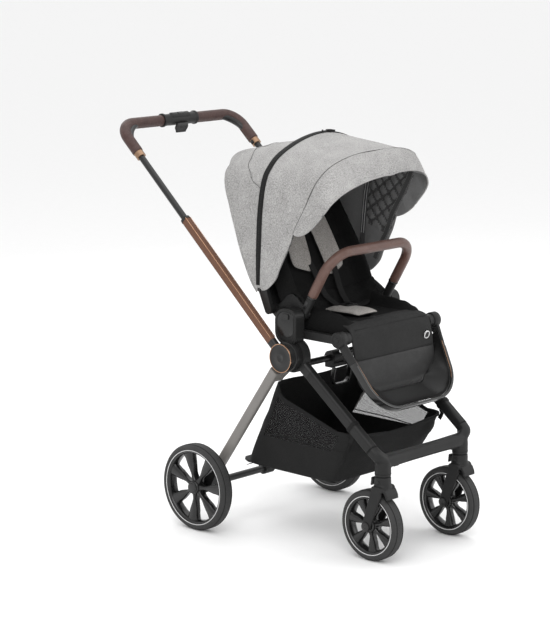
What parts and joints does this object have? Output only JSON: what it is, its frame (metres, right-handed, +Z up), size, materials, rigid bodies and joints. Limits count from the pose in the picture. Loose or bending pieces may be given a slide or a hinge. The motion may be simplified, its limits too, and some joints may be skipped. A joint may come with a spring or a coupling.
{
  "type": "baby stroller",
  "caption": "Folding baby stroller with a canopied reclining seat, a raised rounded handle on slanted poles, swivelling front wheels, larger rear wheels, a footrest and an under-seat basket",
  "frame": {"origin": "on the floor, midway between the front of the front tyres and the back of the handle, on the centre plane", "axes": "+Z up, the child faces -Y, +X is the child's left"},
  "size_m": [0.5946, 0.9933, 1.1023],
  "materials": {
    "frame_dark": "satin dark grey powder coat",
    "rear_taupe": "satin taupe grey powder coat",
    "sleeve_copper": "satin copper-brown anodised",
    "tube_black": "gloss black anodised",
    "hub_black": "satin black",
    "plastic_black": "fine-textured black",
    "leather_brown": "stitched dark brown",
    "collar_gold": "polished copper-gold",
    "tyre_black": "diamond tread",
    "rim_black": "gloss black spokes",
    "steel": "turned",
    "axle_black": "satin black",
    "canopy_grey": "woven grey melange",
    "liner_black": "woven black",
    "pad_grey": "woven grey melange",
    "basket_black": "mesh and canvas",
    "calf_charcoal": "woven charcoal"
  },
  "bodies": {
    "chassis": {"front_legs": "frame_dark", "front_crossmember": "frame_dark", "fold_hubs": "hub_black", "hub_covers": "hub_black", "hub_bolts": "steel", "cross_tube": "axle_black", "fold_latch": "plastic_black", "basket": "basket_black"},
    "rear_frame": {"rear_legs": "rear_taupe", "rear_axle": "axle_black", "wheel_housings": "plastic_black"},
    "brake": {"brake_pedal": "plastic_black"},
    "handle_poles": {"pole_knuckles": "hub_black", "pole_sleeves": "sleeve_copper"},
    "handlebar": {"handlebar_tube": "tube_black", "handle_grips": "leather_brown", "grip_collars": "collar_gold", "console": "plastic_black"},
    "trigger": {"fold_trigger": "plastic_black"},
    "seat": {"seat_housings": "plastic_black", "seat_frame": "frame_dark", "seat_cushion": "liner_black", "crotch_pad": "pad_grey", "harness_buckle": "plastic_black"},
    "backrest": {"back_frame": "axle_black", "back_pad": "liner_black", "shoulder_pads": "pad_grey", "canopy_rear": "canopy_grey"},
    "recline_handle": {"recline_lever": "plastic_black"},
    "canopy_mid": {"canopy_middle_bow": "plastic_black", "canopy_middle": "canopy_grey"},
    "canopy_visor": {"canopy_front_bow": "plastic_black", "canopy_front": "canopy_grey"},
    "footrest": {"footrest_frame": "axle_black", "foot_tray": "plastic_black", "calf_pad": "calf_charcoal"},
    "bumper": {"bumper_bar": "axle_black", "bumper_grip": "leather_brown"},
    "front_left_wheel": {"front_left_tyre": "tyre_black", "front_left_rim": "rim_black", "front_left_bearings": "steel"},
    "rear_left_wheel": {"rear_left_tyre": "tyre_black", "rear_left_rim": "rim_black", "rear_left_bearings": "steel"},
    "left_caster": {"left_caster_fork": "frame_dark", "left_front_axle": "steel"},
    "left_lock": {"left_swivel_lock": "plastic_black"},
    "left_button": {"left_height_button": "plastic_black"},
    "left_release": {"left_seat_release": "hub_black"},
    "front_right_wheel": {"front_right_tyre": "tyre_black", "front_right_rim": "rim_black", "front_right_bearings": "steel"},
    "rear_right_wheel": {"rear_right_tyre": "tyre_black", "rear_right_rim": "rim_black", "rear_right_bearings": "steel"},
    "right_caster": {"right_caster_fork": "frame_dark", "right_front_axle": "steel"},
    "right_lock": {"right_swivel_lock": "plastic_black"},
    "right_button": {"right_height_button": "plastic_black"},
    "right_release": {"right_seat_release": "hub_black"}
  },
  "joints": [
    {"name": "handle_fold", "type": "hinge", "parent": "chassis", "child": "handle_poles", "pos_m": [0, -0.14805, 0.514], "axis": [1, 0, 0], "range_deg": [0, 160]},
    {"name": "rear_leg_fold", "type": "hinge", "parent": "chassis", "child": "rear_frame", "pos_m": [0, -0.14805, 0.514], "axis": [1, 0, 0], "range_deg": [-45, 0]},
    {"name": "handle_extend", "type": "slide", "parent": "handle_poles", "child": "handlebar", "axis": [0, 0.7396, 0.673], "range_m": [-0.2, 0]},
    {"name": "fold_trigger_squeeze", "type": "slide", "parent": "handlebar", "child": "trigger", "axis": [0, 0.454, 0.891], "range_m": [0, 0.006], "stiffness_N_per_m": 800, "springref_m": -0.001},
    {"name": "seat_lift", "type": "slide", "parent": "chassis", "child": "seat", "axis": [0, 0, 1], "range_m": [0, 0.06]},
    {"name": "backrest_recline", "type": "hinge", "parent": "seat", "child": "backrest", "pos_m": [0, -0.11006, 0.592], "axis": [1, 0, 0], "range_deg": [-40, 0]},
    {"name": "recline_lever_squeeze", "type": "slide", "parent": "backrest", "child": "recline_handle", "axis": [0, 0.4431, 0.8965], "range_m": [0, 0.008], "stiffness_N_per_m": 500, "springref_m": -0.001},
    {"name": "canopy_mid_fold", "type": "hinge", "parent": "backrest", "child": "canopy_mid", "pos_m": [0, -0.04206, 0.68], "axis": [1, 0, 0], "range_deg": [-30, 0]},
    {"name": "canopy_visor_fold", "type": "hinge", "parent": "canopy_mid", "child": "canopy_visor", "pos_m": [0, -0.04206, 0.68], "axis": [1, 0, 0], "range_deg": [-35, 0]},
    {"name": "footrest_tilt", "type": "hinge", "parent": "seat", "child": "footrest", "pos_m": [0, -0.31006, 0.578], "axis": [1, 0, 0], "range_deg": [-57, 0]},
    {"name": "bumper_tilt", "type": "hinge", "parent": "seat", "child": "bumper", "pos_m": [0, -0.16106, 0.622], "axis": [1, 0, 0], "range_deg": [-35, 25]},
    {"name": "brake_press", "type": "hinge", "parent": "rear_frame", "child": "brake", "pos_m": [0, 0.12995, 0.12], "axis": [1, 0, 0], "range_deg": [-20, 0]},
    {"name": "front_left_wheel_spin", "type": "hinge", "parent": "left_caster", "child": "front_left_wheel", "pos_m": [0.16, -0.40165, 0.095], "axis": [1, 0, 0], "continuous": true},
    {"name": "rear_left_wheel_spin", "type": "hinge", "parent": "rear_frame", "child": "rear_left_wheel", "pos_m": [0.275, 0.12995, 0.12], "axis": [1, 0, 0], "continuous": true},
    {"name": "left_swivel", "type": "hinge", "parent": "chassis", "child": "left_caster", "pos_m": [0.16, -0.43506, 0.232], "axis": [0, 0, 1], "continuous": true},
    {"name": "left_swivel_lock_flip", "type": "hinge", "parent": "left_caster", "child": "left_lock", "pos_m": [0.16, -0.40806, 0.223], "axis": [1, 0, 0], "range_deg": [0, 60]},
    {"name": "left_height_button_press", "type": "slide", "parent": "handlebar", "child": "left_button", "axis": [1, 0, 0], "range_m": [0, 0.002], "stiffness_N_per_m": 500, "springref_m": -0.001},
    {"name": "left_seat_release_press", "type": "slide", "parent": "seat", "child": "left_release", "axis": [-1, 0, 0], "range_m": [0, 0.004], "stiffness_N_per_m": 500, "springref_m": -0.001},
    {"name": "front_right_wheel_spin", "type": "hinge", "parent": "right_caster", "child": "front_right_wheel", "pos_m": [-0.16, -0.40165, 0.095], "axis": [1, 0, 0], "continuous": true},
    {"name": "rear_right_wheel_spin", "type": "hinge", "parent": "rear_frame", "child": "rear_right_wheel", "pos_m": [-0.275, 0.12995, 0.12], "axis": [1, 0, 0], "continuous": true},
    {"name": "right_swivel", "type": "hinge", "parent": "chassis", "child": "right_caster", "pos_m": [-0.16, -0.43506, 0.232], "axis": [0, 0, 1], "continuous": true},
    {"name": "right_swivel_lock_flip", "type": "hinge", "parent": "right_caster", "child": "right_lock", "pos_m": [-0.16, -0.40806, 0.223], "axis": [1, 0, 0], "range_deg": [0, 60]},
    {"name": "right_height_button_press", "type": "slide", "parent": "handlebar", "child": "right_button", "axis": [-1, 0, 0], "range_m": [0, 0.002], "stiffness_N_per_m": 500, "springref_m": -0.001},
    {"name": "right_seat_release_press", "type": "slide", "parent": "seat", "child": "right_release", "axis": [1, 0, 0], "range_m": [0, 0.004], "stiffness_N_per_m": 500, "springref_m": -0.001}
  ],
  "couplings": [
    {"joint": "rear_leg_fold", "follows": "handle_fold", "ratio": -0.28125}
  ]
}
